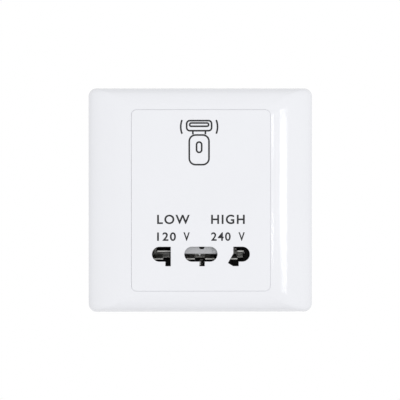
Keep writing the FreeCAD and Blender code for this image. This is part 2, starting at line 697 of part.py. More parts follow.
def make_shutter():
    body = new_body("shutter")
    plate = sketch_on(body, "plate", level=SHUTTER_FRONT)
    wing = f"({SHUTTER_HALF} + shutter_wing)"
    loop(plate, [(SHUTTER_HALF, PIN_Z), (SHUTTER_HALF, SHUTTER_STEP), (wing, SHUTTER_STEP),
                 (wing, SHUTTER_TOP), (f"-{wing}", SHUTTER_TOP), (f"-{wing}", SHUTTER_STEP),
                 (f"-{SHUTTER_HALF}", SHUTTER_STEP), (f"-{SHUTTER_HALF}", PIN_Z)])
    low, high = f"{PIN_TOP} - shutter_window_reach", f"{PIN_TOP} + shutter_window_reach"
    foot, head = "shutter_window_foot / 2", "shutter_window / 2"
    loop(plate, [(f"notch_offset + {foot}", low), (f"notch_offset + {head}", high),
                 (f"notch_offset - {head}", high), (f"notch_offset - {foot}", low)])
    pad(body, plate, "shutter_thickness", back=True)
    seat = sketch_on(body, "spring_post", "XY_Plane", SHUTTER_TOP)
    circle(seat, "0", f"-{SPRING_LEVEL}", "spring_radius - spring_wire")
    pad(body, seat, "spring_radius")
    front, foot = -value(SHUTTER_FRONT), value(PIN_Z)
    dress(body, "Chamfer", "ramp", "shutter_edge",
          lambda edge: near(edge.YMax, front) and near(edge.ZMax, foot))
    tooth = sketch_on(body, "tooth", level=f"{SHUTTER_FRONT} - shutter_edge")
    left, right = (f"{sign} tooth_width / 2 - tooth_offset" for sign in "-+")
    tip, root = f"{PIN_Z} - shutter_tooth", f"{PIN_Z} + shutter_tooth"
    loop(tooth, [("-tooth_offset", tip), (right, PIN_Z), (right, root), (left, root), (left, PIN_Z)])
    pad(body, tooth, "shutter_thickness - shutter_edge", back=True)
    groove = sketch_on(body, "groove", level=SHUTTER_FRONT)
    box(groove, "groove_offset", f"{PIN_Z} - overrun", "groove_offset + shutter_groove", SHUTTER_STEP)
    pocket(body, groove, "shutter_edge")
    return body


def make_shutter_spring():
    body = new_body("shutter_spring")
    wire = sketch_on(body, "wire")
    circle(wire, "spring_radius", "0", "spring_wire / 2")
    coil = body.newObject("PartDesign::AdditiveHelix", "shutter_spring_coil")
    coil.Profile = wire
    coil.ReferenceAxis = (wire, ["V_Axis"])
    coil.Mode = "height-turns-angle"
    bind(coil, "Height", "spring_room - spring_wire - 2 * clamp_play")
    bind(coil, "Turns", "spring_turns")
    bind(body, "Placement.Base.y", f"-{SPRING_LEVEL}")
    bind(body, "Placement.Base.z", f"{SHUTTER_TOP} + spring_wire / 2 + clamp_play")
    return body


def make_transformer_core():
    body = new_body("transformer_core")
    plate = sketch_on(body, "lamination", level=f"-{CORE_FRONT}")
    width, height = f"{CORE_W} / 2", f"{CORE_H} / 2"
    box(plate, f"-{width}", f"{CORE_Z} - {height}", width, f"{CORE_Z} + {height}")
    for side in "+-":
        inner, outer = f"{CORE_Z} {side} leg_width / 2", f"{CORE_Z} {side} (leg_width / 2 + core_window)"
        low, high = (inner, outer) if side == "+" else (outer, inner)
        box(plate, "-core_opening / 2", low, "core_opening / 2", high)
        for across in SIDES:
            circle(plate, f"{across}({width} - {YOKE} / 2)", f"{CORE_Z} {side} ({height} - {YOKE} / 2)",
                   "core_bolt")
    pad(body, plate, "core_stack", back=True)
    return body


def tube_section(sketch, inner, outer, corner):
    """Two round-cornered rectangles about the middle leg, each grown from it by a margin."""
    for margin, radius in ((outer, corner), (inner, "bobbin_wall")):
        rounded(sketch, f"(core_stack + 2 * ({margin}))", f"(leg_width + 2 * ({margin}))", radius,
                CORE_MID, CORE_Z)


TUBE = "(bobbin_play + bobbin_wall)"
BOBBIN_HALF = "(core_opening / 2 - bobbin_play)"


def make_bobbin():
    body = new_body("bobbin")
    tube = sketch_on(body, "tube", "YZ_Plane")
    tube_section(tube, "bobbin_play", TUBE, "bobbin_wall")
    pad(body, tube, f"2 * {BOBBIN_HALF}", both=True)
    for name, level in (("left", f"-{BOBBIN_HALF}"), ("middle", "-bobbin_wall / 2"),
                        ("right", f"{BOBBIN_HALF} - bobbin_wall")):
        flange = sketch_on(body, f"flange_{name}", "YZ_Plane", level)
        tube_section(flange, f"{TUBE} - bobbin_wall / 2", FLANGE_RIM, "bobbin_wall")
        pad(body, flange, "bobbin_wall")
    return body


def make_winding(name, side):
    body = new_body(name)
    ring = sketch_on(body, "turns", "YZ_Plane", f"{side} * (bobbin_wall / 2 + winding_play)")
    tube_section(ring, f"{TUBE} + winding_play", f"{TUBE} + winding_depth", "winding_corner")
    pad(body, ring, f"{BOBBIN_HALF} - bobbin_wall - bobbin_wall / 2 - 2 * winding_play", back=side < 0)
    return body


# Pins under the bobbin's end flanges, behind the core: two primary ends and three secondary ends
FLANGE_X = f"({BOBBIN_HALF} - bobbin_wall / 2)"
PIN_ROW = [f"{CORE_REAR} + winding_pin_back + {step} * winding_pin_pitch" for step in range(3)]
WINDING_PINS = [(f"-{FLANGE_X}", PIN_ROW[0]), (f"-{FLANGE_X}", PIN_ROW[2])]
WINDING_PINS += [(FLANGE_X, depth) for depth in PIN_ROW]
PRIMARY_MID = f"(-{FLANGE_X} / 2)"
CUTOUT_Y = f"({CORE_REAR} + coil_play + cutout_width / 2)"
CUTOUT_LEGS = [(f"{PRIMARY_MID} {sign} cutout_leg_pitch / 2", CUTOUT_Y) for sign in "-+"]


def make_winding_pins():
    made = []
    for index, (across, depth) in enumerate(WINDING_PINS):
        body = doc.addObject("PartDesign::Body", f"winding_pin_{index}")
        pin = sketch_on(body, "section", "XY_Plane", f"{BOARD_LOW} - pin_stand")
        box(pin, f"{across} - winding_pin / 2", f"{depth} - winding_pin / 2", f"{across} + winding_pin / 2",
            f"{depth} + winding_pin / 2")
        pad(body, pin, f"{COIL_LOW} - ({BOARD_LOW} - pin_stand)")
        made.append(body)
    return group_of("winding_pins", made)


def make_thermal_cutout():
    """A small sealed case under the primary winding, on two legs that reach through the board."""
    body = new_body("thermal_cutout")
    under = f"{CORE_Z} - leg_width / 2 - {TUBE} - winding_depth - winding_play"
    case = sketch_on(body, "case", "XY_Plane", under)
    rounded(case, "cutout_length", "cutout_width", "bobbin_wall", PRIMARY_MID, CUTOUT_Y)
    pad(body, case, "cutout_thickness", back=True)
    legs = sketch_on(body, "legs", "XY_Plane", f"{BOARD_LOW} - pin_stand")
    for across, depth in CUTOUT_LEGS:
        circle(legs, across, depth, "winding_pin / 2")
    pad(body, legs, f"{under} - cutout_thickness / 2 - ({BOARD_LOW} - pin_stand)")
    return body


def make_circuit_board():
    body = new_body("circuit_board")
    board = sketch_on(body, "outline", "XY_Plane", BOARD_LOW)
    front = f"{TAG_END} - strip - tag_play"
    rear = f"{HOUSING_DEPTH} - housing_wall - board_play"
    half = "((aperture_reach + aperture_inner) / 2 + tag_width / 2 + board_margin)"
    box(board, f"-{half}", front, half, rear)
    for middle in CONTACT_MIDDLES.values():
        box(board, f"{middle} - tag_width / 2 - board_play", f"{TAG_END} - strip - board_play",
            f"{middle} + tag_width / 2 + board_play", f"{TAG_END} + board_play")
    draw_tail_slots(board, "board_play")
    for across, depth in WINDING_PINS:
        reach = "(winding_pin / 2 + board_play)"
        box(board, f"{across} - {reach}", f"{depth} - {reach}", f"{across} + {reach}", f"{depth} + {reach}")
    for across, depth in CUTOUT_LEGS:
        circle(board, across, depth, "winding_pin / 2 + board_play")
    pad(body, board, "board_thickness")
    return body


# Rows of cooling slots in each side wall, counted from the middle of the core
VENT_STEPS = (-2, -1, 0, 1, 2)


def make_rear_housing():
    body = new_body("rear_housing")
    top, low = HOUSING_TOP, HOUSING_LOW
    shell = sketch_on(body, "shell", "YZ_Plane")
    loop(shell, [("0", low), (STEP_Y, low), (STEP_Y, STEP_Z), (HOUSING_DEPTH, STEP_Z), (HOUSING_DEPTH, top),
                 ("0", top)])
    pad(body, shell, HOUSING_W, both=True)
    half, rear = value(HOUSING_W) / 2, value(HOUSING_DEPTH)
    step_y, step_z = value(STEP_Y), value(STEP_Z)

    def outer_edge(edge):
        """An edge of a side face, apart from the open front and the inner corner of the step."""
        on_side = near(edge.XMin, edge.XMax) and near(abs(edge.XMin), half)
        shelf = near(edge.ZMin, step_z) and near(edge.ZMax, step_z) and near(edge.YMax, rear)
        return on_side and edge.YMax > step_y / 2 and not shelf and not (near(edge.YMin, step_y)
                                                                        and near(edge.YMax, step_y))

    dress(body, "Fillet", "edges", "housing_edge", outer_edge)
    hollow = sketch_on(body, "hollow", "YZ_Plane")
    inner_rear, inner_step = f"{HOUSING_DEPTH} - housing_wall", f"{STEP_Y} - housing_wall"
    loop(hollow, [("-overrun", f"{low} + housing_wall"), (inner_step, f"{low} + housing_wall"),
                  (inner_step, f"{STEP_Z} + housing_wall"), (inner_rear, f"{STEP_Z} + housing_wall"),
                  (inner_rear, f"{top} - housing_wall"), ("-overrun", f"{top} - housing_wall")])
    pocket(body, hollow, f"{HOUSING_W} - 2 * housing_wall", both=True)
    ribs = sketch_on(body, "ribs", level=f"-{CORE_REAR}")
    for side in SIDES:
        middle = f"{side}({CORE_W} / 2 - {YOKE} / 2)"
        box(ribs, f"{middle} - rib_thickness / 2", f"{CORE_Z} - {CORE_H} / 2 + housing_wall",
            f"{middle} + rib_thickness / 2", f"{CORE_Z} + {CORE_H} / 2 - housing_wall")
    pad(body, ribs, f"{HOUSING_DEPTH} - housing_wall / 2 - {CORE_REAR}", back=True)
    for name, up, depth in (("upper", "", HOUSING_DEPTH), ("lower", "-", STEP_Y)):
        pillars = sketch_on(body, f"pillars_{name}")
        holes = sketch_on(body, f"holes_{name}")
        for across in SIDES:
            circle(pillars, f"{across}{SCREW_X}", f"{up}{SCREW_Z}", "pillar_radius")
            circle(holes, f"{across}{SCREW_X}", f"{up}{SCREW_Z}", "screw_radius + screw_play")
        pad(body, pillars, f"{depth} - housing_wall / 2", back=True)
        pocket(body, holes, depth)
    vents = sketch_on(body, "vents", "YZ_Plane")
    for step in VENT_STEPS:
        middle = f"{CORE_Z} + {step} * vent_pitch"
        box(vents, "vent_inset", f"{middle} - vent_width / 2", f"{CORE_REAR} - vent_inset",
            f"{middle} + vent_width / 2")
    pocket(body, vents, f"{HOUSING_W} + 2 * overrun", both=True)
    tails = sketch_on(body, "tails", "XY_Plane", f"{STEP_Z} - overrun")
    draw_tail_slots(tails, "terminal_play")
    pocket(body, tails, "housing_wall + 2 * overrun", back=True)
    return body


TERMINALS = {"terminal_live": "-terminal_pitch", "terminal_earth": "0", "terminal_neutral": "terminal_pitch"}


def draw_tail_slots(sketch, play):
    """Slots for the terminals' tails, seen from above."""
    for middle in TERMINALS.values():
        box(sketch, f"{middle} - terminal_tail / 2 - {play}", f"{TAIL_Y} - tail_thickness / 2 - {play}",
            f"{middle} + terminal_tail / 2 + {play}", f"{TAIL_Y} + tail_thickness / 2 + {play}")


def make_terminal_block():
    body = new_body("terminal_block")
    block = sketch_on(body, "block", level=f"-{STEP_Y}")
    box(block, f"-{BLOCK_HALF}", BLOCK_LOW, BLOCK_HALF, STEP_Z)
    pad(body, block, f"{BLOCK_REAR} - {STEP_Y}", back=True)
    bays = sketch_on(body, "bays", level=f"-({STEP_Y} + block_wall)")
    for middle in TERMINALS.values():
        half = "(terminal_width / 2 + terminal_play)"
        box(bays, f"{middle} - {half}", f"{BLOCK_LOW} - overrun", f"{middle} + {half}",
            f"{STEP_Z} - block_wall")
    pocket(body, bays)
    tails = sketch_on(body, "tails", "XY_Plane", f"{STEP_Z} + overrun")
    draw_tail_slots(tails, "terminal_play")
    pocket(body, tails, "block_wall + 2 * overrun")
    return body


def make_terminal(name, middle):
    """A brass block with a wire bore from below, a clamp hole from the rear and a tail up to the board."""
    body = new_body(name)
    block = sketch_on(body, "block", level=f"-{TERMINAL_FRONT}")
    box(block, f"{middle} - terminal_width / 2", f"{TERMINAL_TOP} - terminal_height",
        f"{middle} + terminal_width / 2", TERMINAL_TOP)
    pad(body, block, "terminal_depth", back=True)
    root = f"({TERMINAL_TOP} - tail_thickness)"
    tail = sketch_on(body, "tail", "XY_Plane", root)
    box(tail, f"{middle} - terminal_tail / 2", f"{TAIL_Y} - tail_thickness / 2",
        f"{middle} + terminal_tail / 2", f"{TAIL_Y} + tail_thickness / 2")
    pad(body, tail, f"{BOARD_TOP} + pin_stand - {root}")
    bore = sketch_on(body, "bore", "XY_Plane", f"{TERMINAL_TOP} - terminal_height")
    circle(bore, middle, BORE_Y, "bore_radius")
    pocket(body, bore, "bore_depth", back=True)
    clamp = sketch_on(body, "clamp", level=f"-{TERMINAL_REAR}")
    circle(clamp, middle, CLAMP_Z, "clamp_radius + clamp_play")
    pocket(body, clamp, "terminal_depth / 2", back=True)
    return body


def group_of(name, bodies):
    """Like pieces in one node, as separate solids."""
    group = doc.addObject("Part::Compound", name)
    group.Label = name
    group.Links = bodies
    return group


def make_screws(name, places, tip, seat, shank, head, head_height):
    """Slotted pan-head screws along Y, with their tips to the front and their heads behind the seat."""
    made = []
    for index, (across, up) in enumerate(places):
        body = doc.addObject("PartDesign::Body", f"{name}_{index}")
        stem = sketch_on(body, "stem", level=f"-({tip})")
        circle(stem, across, up, shank)
        pad(body, stem, f"{seat} - ({tip})", back=True)
        cap = sketch_on(body, "head", level=f"-({seat})")
        circle(cap, across, up, head)
        pad(body, cap, head_height, back=True)
        slot = sketch_on(body, "slot", level=f"-({seat} + {head_height})")
        box(slot, f"{across} - {head} - overrun", f"{up} - drive_slot / 2", f"{across} + {head} + overrun",
            f"{up} + drive_slot / 2")
        pocket(body, slot, f"{head_height} / 2", back=True)
        made.append(body)
    return group_of(name, made)


def sound_shape(item):
    """The finished shape of a sub-part, which has to be whole."""
    shape = item.Shape
    if shape.isNull() or not shape.isValid() or not shape.Solids:
        raise ValueError(f"{item.Label} has no sound shape")
    return shape


PARTS = [
    make_surround_frame(),
    make_front_panel(),
    make_mounting_plate(),
    make_contact_carrier(),
    make_shutter(),
    make_shutter_spring(),
    make_contact_low(),
    make_contact_common(),
    make_contact_high(),
    make_transformer_core(),
    make_bobbin(),
    make_winding("primary_winding", -1),
    make_winding("secondary_winding", 1),
    make_winding_pins(),
    make_thermal_cutout(),
    make_circuit_board(),
    make_rear_housing(),
    make_terminal_block(),
    *[make_terminal(name, middle) for name, middle in TERMINALS.items()],
    make_screws("terminal_screws", [(middle, CLAMP_Z) for middle in TERMINALS.values()],
                f"{BORE_Y} + bore_radius + clamp_back_off", f"{TERMINAL_REAR} + clamp_back_off",
                "clamp_radius", "clamp_head", "clamp_head_height"),
    make_screws("housing_screws_upper", [(f"{side}{SCREW_X}", SCREW_Z) for side in SIDES],
                "-mount_thickness - screw_bite", HOUSING_DEPTH, "screw_radius", "head_radius", "head_height"),
    make_screws("housing_screws_lower", [(f"{side}{SCREW_X}", f"-{SCREW_Z}") for side in SIDES],
                "-mount_thickness - screw_bite", STEP_Y, "screw_radius", "head_radius", "head_height"),
]
doc.recompute()

failed = [item.Name for item in doc.Objects if {"Invalid", "Error"} & set(item.State)]
if failed:
    raise ValueError(f"objects that did not build: {failed}")
shapes = {item.Label: sound_shape(item) for item in PARTS}

os.makedirs("parts", exist_ok=True)
for label, shape in shapes.items():
    shape.exportStep(os.path.join("parts", f"{label}.step"))
    print(f"{label}: {len(shape.Solids)} solid, {shape.Volume:.1f} mm3")
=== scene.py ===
# %% [markdown]
# # A two-voltage shaver socket
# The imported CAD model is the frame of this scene: every node already stands in its place, in metres, with
# the wall as the plane y = 0 and the front towards -Y. This lesson gives each node its finish, adds what
# CAD leaves out, and lights the whole like a product photograph.

# %% Load the CAD model
import math

import bmesh
import bpy
from mathutils import Matrix, Quaternion, Vector


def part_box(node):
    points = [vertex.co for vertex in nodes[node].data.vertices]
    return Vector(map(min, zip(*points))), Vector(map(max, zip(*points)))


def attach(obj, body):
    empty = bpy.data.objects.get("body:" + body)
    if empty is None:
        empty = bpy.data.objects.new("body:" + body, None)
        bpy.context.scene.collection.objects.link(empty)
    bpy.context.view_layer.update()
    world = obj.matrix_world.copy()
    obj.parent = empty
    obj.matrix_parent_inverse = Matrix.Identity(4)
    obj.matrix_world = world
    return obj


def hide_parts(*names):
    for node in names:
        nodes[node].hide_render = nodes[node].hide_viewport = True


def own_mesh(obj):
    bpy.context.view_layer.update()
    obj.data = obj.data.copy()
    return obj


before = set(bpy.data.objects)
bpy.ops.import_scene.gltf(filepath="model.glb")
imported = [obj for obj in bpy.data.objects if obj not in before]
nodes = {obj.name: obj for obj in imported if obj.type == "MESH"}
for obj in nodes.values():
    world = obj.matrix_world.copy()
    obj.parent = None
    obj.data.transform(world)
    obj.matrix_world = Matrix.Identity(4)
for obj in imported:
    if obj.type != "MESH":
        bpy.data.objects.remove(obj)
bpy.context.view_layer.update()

MM = 0.001

# %% [markdown]
# ## Colours and shader nodes
# Colours are picked as sRGB hex codes, the way a paint shop or a photo editor gives them. Shaders work in
# linear light, so one function converts them. A second one adds a shader node with its settings and links,
# which keeps every material below to a few readable lines. Patterns use Object coordinates, which are in
# metres here, so a texture's scale is one over the real size of its grain.

# %% Helpers for materials
def linear(code):
    """The linear colour of an sRGB hex code."""
    parts = [int(code[place:place + 2], 16) / 255 for place in (1, 3, 5)]
    return [part / 12.92 if part <= 0.04045 else ((part + 0.055) / 1.055) ** 2.4 for part in parts] + [1]


def add(tree, kind, inputs=None, **settings):
    """Adds a node. Inputs map a socket to a value or to the output that feeds it."""
    node = tree.nodes.new(kind)
    for name, setting in settings.items():
        setattr(node, name, setting)
    for socket, feed in (inputs or {}).items():
        if isinstance(feed, bpy.types.NodeSocket):
            tree.links.new(feed, node.inputs[socket])
        else:
            node.inputs[socket].default_value = feed
    return node


def grain(millimetres):
    """Texture scale at which a pattern repeats about once in that many millimetres."""
    return 1 / (millimetres * MM)


print("white comes to", [round(part, 3) for part in linear("#FFFFFF")])

# %% [markdown]
# ## One plan for most surfaces
# Nearly every material here shares one plan: a base shader, a slow drift of colour, a finer drift of
# roughness, and a small bump. Painted maps could give that too, but noise in real millimetres needs no file
# and no unwrapping, and runs evenly round every corner. So one function builds the plan, and each material
# gives it real sizes. The stretch turns an even grain into lines, such as rolling marks on strip metal.

# %% A plan for moulded and rolled surfaces
def surface(name, colours, roughness, drift, texture, relief, stretch=(1, 1, 1), metallic=0.0, ior=1.5):
    """A material with two close colours, a range of roughness, and a bump.

    The drift of the colour, the grain of the texture and its relief are in mm.
    """
    material = bpy.data.materials.new(name)
    material.use_nodes = True
    tree = material.node_tree
    shader = tree.nodes["Principled BSDF"]
    shader.inputs["Metallic"].default_value = metallic
    shader.inputs["IOR"].default_value = ior
    place = add(tree, "ShaderNodeTexCoord").outputs["Object"]
    place = add(tree, "ShaderNodeMapping", {"Vector": place, "Scale": stretch}).outputs["Vector"]
    slow = add(tree, "ShaderNodeTexNoise", {"Vector": place, "Scale": grain(drift), "Detail": 2.0})
    fine = add(tree, "ShaderNodeTexNoise", {"Vector": place, "Scale": grain(texture), "Detail": 3.0})
    mix = add(tree, "ShaderNodeMix", {"Factor": slow.outputs["Fac"]}, data_type="RGBA")
    mix.inputs["A"].default_value, mix.inputs["B"].default_value = [linear(code) for code in colours]
    gloss = add(tree, "ShaderNodeMapRange", {"Value": fine.outputs["Fac"], "To Min": roughness[0],
                                             "To Max": roughness[1]})
    bump = add(tree, "ShaderNodeBump", {"Height": fine.outputs["Fac"], "Strength": 1.0,
                                        "Distance": relief * MM})
    tree.links.new(mix.outputs["Result"], shader.inputs["Base Color"])
    tree.links.new(gloss.outputs["Result"], shader.inputs["Roughness"])
    tree.links.new(bump.outputs["Normal"], shader.inputs["Normal"])
    return material


print("plan ready")

# %% [markdown]
# ## Plastics
# The front is urea moulding powder pressed in a polished tool: a cool white with an even gloss and hardly
# any ripple. The works sit in duller mouldings, whose tools were spark-eroded, so they carry a fine grain.
# That grain could be displaced geometry, but it is only hundredths of a millimetre deep, so a bump shows it
# as well and leaves the CAD meshes alone. Where the real grain is finer than the render can show, it is
# drawn a few times coarser.

# %% Moulded plastics
# Pressed urea: clean gloss, with a ripple too shallow to see except in the edge of a highlight
white_urea = surface("white_urea", ("#ECEDF1", "#EAEBEF"), roughness=(0.07, 0.10), drift=14, texture=2.5,
                     relief=0.0004, ior=1.55)
# Glass-filled nylon: matt, with the grain of a spark-eroded tool, drawn coarse so that it shows
grey_nylon = surface("grey_nylon", ("#B9BBBD", "#B2B4B7"), roughness=(0.50, 0.66), drift=6, texture=0.35,
                     relief=0.02)
# Black phenolic: dark and half matt, with its grain drawn coarse so that it shows
black_phenolic = surface("black_phenolic", ("#151516", "#1C1C1E"), roughness=(0.42, 0.60), drift=4,
                         texture=0.30, relief=0.015)
# Acetal slide: pale grey with a waxy sheen
grey_acetal = surface("grey_acetal", ("#BABBBD", "#B2B3B5"), roughness=(0.36, 0.46), drift=3, texture=0.40,
                      relief=0.004, ior=1.48)
# Natural nylon: creamy and a little cloudy
natural_nylon = surface("natural_nylon", ("#D9D2BC", "#D0C8AF"), roughness=(0.40, 0.52), drift=3,
                        texture=0.50, relief=0.006, ior=1.53)
# Paper laminate for boards: brown, with pressed fibres
paper_laminate = surface("paper_laminate", ("#A07C45", "#8F6C38"), roughness=(0.50, 0.66), drift=2,
                         texture=0.25, relief=0.008, stretch=(1, 0.3, 1))
print("plastics: 6")

# %% [markdown]
# ## Metals
# Strip metal keeps fine lines along the way it was rolled, and turned brass keeps the marks of the tool.
# Plated screws, pins and wire are more even. An anisotropic shader could give the lines, but it needs
# tangents, which these meshes don't carry, so the noise is stretched along the lines instead. All of them
# are drawn coarser than the real ones, which are too fine to show.

# %% Rolled, turned and plated metals
# Tinned bronze strip: grey with a trace of yellow, rolling lines along the leaves
bronze_strip = surface("bronze_strip", ("#D0D0CD", "#BEBEBA"), roughness=(0.42, 0.56), drift=2, texture=0.20,
                       relief=0.004, stretch=(1, 0.08, 1), metallic=1.0)
# Turned brass blocks: warm, with fine tool marks across
turned_brass = surface("turned_brass", ("#C9A65A", "#B8934A"), roughness=(0.26, 0.40), drift=3, texture=0.18,
                       relief=0.004, stretch=(0.1, 1, 1), metallic=1.0)
# Zinc plate on steel screws: bright and slightly blue
zinc_plate = surface("zinc_plate", ("#C3C7CC", "#B1B5BB"), roughness=(0.28, 0.44), drift=2, texture=0.25,
                     relief=0.004, metallic=1.0)
# Tinned pins: soft white metal
tin_plate = surface("tin_plate", ("#CCCCCB", "#BDBDBD"), roughness=(0.34, 0.50), drift=1, texture=0.20,
                    relief=0.004, metallic=1.0)
# Drawn spring wire: grey steel with an even, close texture
spring_steel = surface("spring_steel", ("#9EA0A3", "#8B8D91"), roughness=(0.26, 0.38), drift=1, texture=0.15,
                       relief=0.003, metallic=1.0)
print("metals: 5")

# %% [markdown]
# ## Sheets and windings
# The core is a stack of thin sheets and the coils are rows of round wire. Each sheet and each turn could be
# modelled, but they lie inside the housing and show only through its cooling slots, so bands are enough. A
# wave texture gives bands, with its scale worked out from the real pitch.

# %% Banded metals
# Length of one wave of the texture at a scale of 1
WAVE_LENGTH = math.pi / 10


def banded(name, colours, roughness, pitch, direction, relief, metallic):
    """A metal in even bands, such as sheets in a stack or wires in a row; pitch and relief in mm."""
    material = bpy.data.materials.new(name)
    material.use_nodes = True
    tree = material.node_tree
    shader = tree.nodes["Principled BSDF"]
    shader.inputs["Metallic"].default_value = metallic
    shader.inputs["Roughness"].default_value = roughness
    place = add(tree, "ShaderNodeTexCoord").outputs["Object"]
    bands = add(tree, "ShaderNodeTexWave", {"Vector": place, "Scale": grain(pitch) * WAVE_LENGTH,
                                            "Distortion": 0.4}, bands_direction=direction)
    ramp = add(tree, "ShaderNodeMix", {"Factor": bands.outputs["Fac"]}, data_type="RGBA")
    ramp.inputs["A"].default_value, ramp.inputs["B"].default_value = [linear(code) for code in colours]
    bump = add(tree, "ShaderNodeBump", {"Height": bands.outputs["Fac"], "Strength": 1.0,
                                        "Distance": relief * MM})
    tree.links.new(ramp.outputs["Result"], shader.inputs["Base Color"])
    tree.links.new(bump.outputs["Normal"], shader.inputs["Normal"])
    return material


# Varnished core sheets, half a millimetre each: dark steel with a fine edge line at every sheet
core_sheets = banded("core_sheets", ("#3A3B3E", "#6E7075"), roughness=0.45, pitch=0.5, direction="Y",
                     relief=0.05, metallic=0.8)
# Enamelled copper wire, wound in rows along the coil's axis: brown-red and ribbed
# Dark brown in the grooves between turns is painted shade, and light copper on their crowns is a painted
# highlight
copper_wire = banded("copper_wire", ("#5E2A14", "#B4633A"), roughness=0.32, pitch=0.4, direction="X",
                     relief=0.10, metallic=0.9)
print("banded metals: 2")

# %% [markdown]
# ## Finishes on the CAD nodes
# A CAD node keeps its mesh and its place, and only its material slots change. The table below reads like a
# parts list: each finish with the nodes that are made of it.

# %% Give every node its finish
FINISHES = {
    white_urea: ["surround_frame", "front_panel"],
    grey_nylon: ["mounting_plate", "rear_housing", "terminal_block"],
    black_phenolic: ["contact_carrier", "thermal_cutout"],
    grey_acetal: ["shutter"],
    natural_nylon: ["bobbin"],
    paper_laminate: ["circuit_board"],
    bronze_strip: ["contact_low", "contact_common", "contact_high"],
    turned_brass: ["terminal_live", "terminal_earth", "terminal_neutral"],
    zinc_plate: ["terminal_screws", "housing_screws_upper", "housing_screws_lower"],
    tin_plate: ["winding_pins"],
    spring_steel: ["shutter_spring"],
    core_sheets: ["transformer_core"],
    copper_wire: ["primary_winding", "secondary_winding"],
}
for finish, names in FINISHES.items():
    for name in names:
        nodes[name].data.materials.clear()
        nodes[name].data.materials.append(finish)
print("nodes with a finish:", sum(len(names) for names in FINISHES.values()))

# %% [markdown]
# ## Making a piece
# New pieces are shaped by bmesh operators, in place and in metres, and then handed to an object at the
# origin. That way nothing is left to move or scale, and a pattern on Object coordinates stays put. Doubles
# are merged, normals are made to point outwards, and edges sharper than a set angle stay crisp while the
# rest is shaded smooth.

# %% From bmesh to a piece of the object
# Points that lie closer than this are one point
MERGE_DISTANCE = 0.001 * MM


def finish_piece(bm, name, material, sharp=30):
    """Turns a bmesh into a smooth-shaded piece that rides on the fixed body."""
    bmesh.ops.remove_doubles(bm, verts=bm.verts, dist=MERGE_DISTANCE)
    bmesh.ops.recalc_face_normals(bm, faces=bm.faces)
    mesh = bpy.data.meshes.new(name)
    bm.to_mesh(mesh)
    bm.free()
    mesh.polygons.foreach_set("use_smooth", [True] * len(mesh.polygons))
    mesh.set_sharp_from_angle(angle=math.radians(sharp))
    mesh.materials.append(material)
    piece = bpy.data.objects.new(name, mesh)
    bpy.context.scene.collection.objects.link(piece)
    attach(piece, "socket")
    print(name, "faces:", len(mesh.polygons))
    return piece


# %% [markdown]
# ## The return spring
# A wire coil above the shutter pushes it back down when a plug leaves. A curve with a round bevel could make
# it, but its ends are harder to hold to the seats of the CAD coil. So a small circle of wire is spun about
# the coil's axis while it climbs, which gives the helix, and a face closes the far end as it does the near
# one.

# %% Wind the spring
spring_low, spring_high = (Vector(corner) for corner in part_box("shutter_spring"))
wire_radius, wire_sides = 0.15 * MM, 10
turns, steps_per_turn = 5, 24
coil_centre = (spring_low + spring_high) / 2
coil_radius = (spring_high.x - spring_low.x) / 2 - wire_radius
climb = spring_high.z - spring_low.z - 2 * wire_radius
bm = bmesh.new()
wire = bmesh.ops.create_circle(bm, cap_ends=True, radius=wire_radius, segments=wire_sides)["verts"]
bmesh.ops.rotate(bm, cent=(0, 0, 0), matrix=Matrix.Rotation(math.pi / 2, 3, "X"), verts=wire)
start = Vector((coil_centre.x + coil_radius, coil_centre.y, spring_low.z + wire_radius))
bmesh.ops.translate(bm, vec=start, verts=wire)
spun = bmesh.ops.spin(bm, geom=bm.edges[:], cent=(coil_centre.x, coil_centre.y, 0), axis=(0, 0, 1),
                      dvec=(0, 0, climb / (turns * steps_per_turn)), angle=math.tau * turns,
                      steps=turns * steps_per_turn)
far_end = [part for part in spun["geom_last"] if isinstance(part, bmesh.types.BMEdge)]
bmesh.ops.contextual_create(bm, geom=far_end)
return_spring = finish_piece(bm, "return_spring", spring_steel, sharp=60)
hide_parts("shutter_spring")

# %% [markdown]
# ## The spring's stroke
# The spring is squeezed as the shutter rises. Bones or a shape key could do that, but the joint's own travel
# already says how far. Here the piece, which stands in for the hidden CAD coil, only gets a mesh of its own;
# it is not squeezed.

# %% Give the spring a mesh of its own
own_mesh(return_spring)

# %% [markdown]
# ## The printed marks
# The panel carries pad-printed marks: a line drawing, a legend and the two voltages. They could be painted
# into the panel's material, but only geometry keeps their edges sharp from close up. So each mark is a film
# of ink that lies on the panel, much thinner than any moulding. Text becomes a mesh, is scaled to its
# measured width and capital height, and is then stood up on the panel's face.

# %% Ink, and where the panel's face is
# Pad-printing ink: nearly black, dull, slightly uneven in density
print_ink = surface("print_ink", ("#101114", "#17181C"), roughness=(0.48, 0.60), drift=1.5, texture=0.30,
                    relief=0.001)
panel_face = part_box("front_panel")[0][1]
INK_FILM = 0.02 * MM
STAND = Matrix.Rotation(math.pi / 2, 4, "X")
print("panel face at y in mm:", round(panel_face / MM, 3))


def lay_ink(bm, name):
    """Stands a flat drawing in the XY plane on the panel's face and gives it the film's thickness."""
    bmesh.ops.recalc_face_normals(bm, faces=bm.faces)
    film = bmesh.ops.extrude_face_region(bm, geom=bm.faces[:])["geom"]
    front = [part for part in film if isinstance(part, bmesh.types.BMVert)]
    bmesh.ops.translate(bm, vec=(0, 0, INK_FILM), verts=front)
    bmesh.ops.transform(bm, matrix=Matrix.Translation((0, panel_face, 0)) @ STAND, verts=bm.verts)
    return finish_piece(bm, name, print_ink)


# %% Set words as flat meshes
# A medium weight with wide spacing, in parts of the letters' own size
WEIGHT, SPACING = 0.022, 1.2


